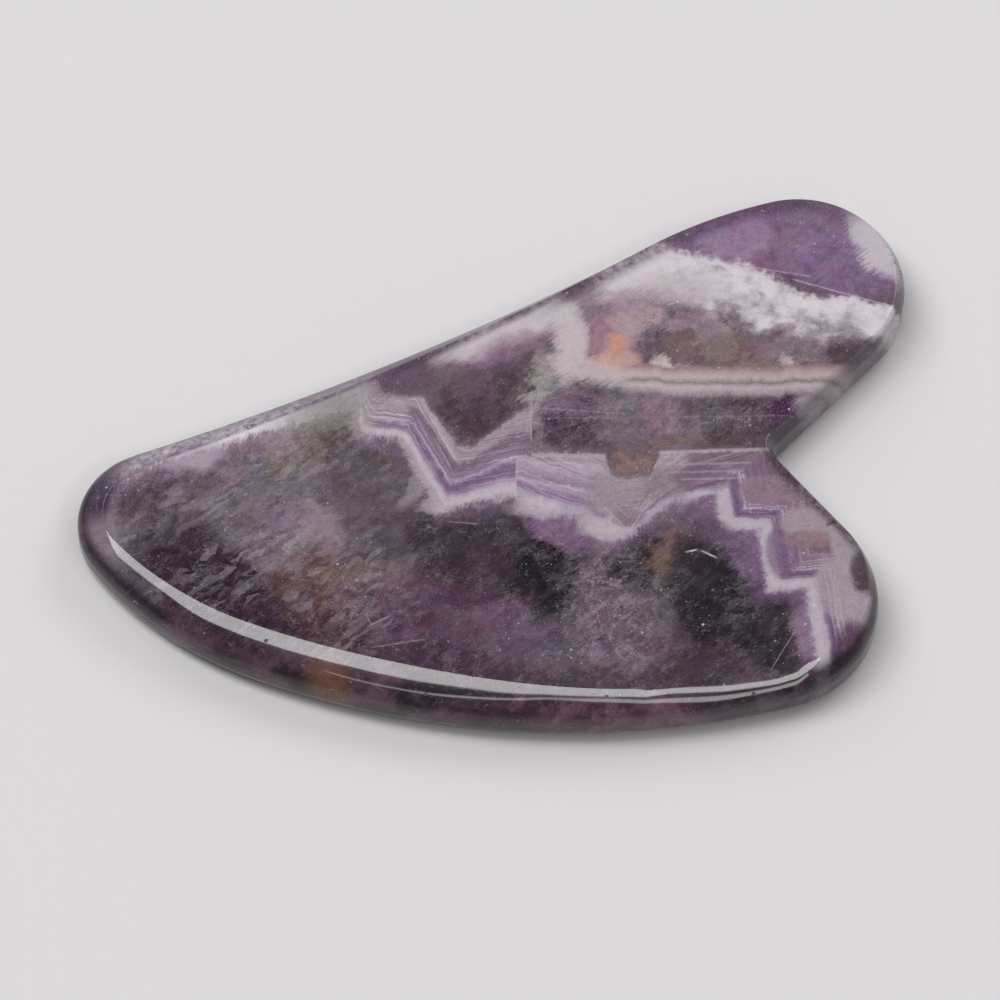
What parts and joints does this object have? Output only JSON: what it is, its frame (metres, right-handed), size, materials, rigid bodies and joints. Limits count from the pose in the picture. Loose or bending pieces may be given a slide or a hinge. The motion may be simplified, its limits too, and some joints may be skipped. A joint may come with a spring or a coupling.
{
  "type": "gua sha scraper",
  "caption": "Hand-held gua sha plate of polished banded stone, with a blunt tail, a long bevelled belly edge and a notch between two rounded lobes.",
  "frame": {"origin": "centre of the bounding box, on the lower face", "axes": "+X from the blunt tail towards the notch and lobes, +Y towards the back edge and the longer lobe, +Z out of the upper face"},
  "size_m": [0.0956, 0.0654, 0.0065],
  "materials": {
    "banded_amethyst": "polished, translucent"
  },
  "bodies": {
    "root": {"stone_plate": "banded_amethyst"}
  },
  "joints": []
}
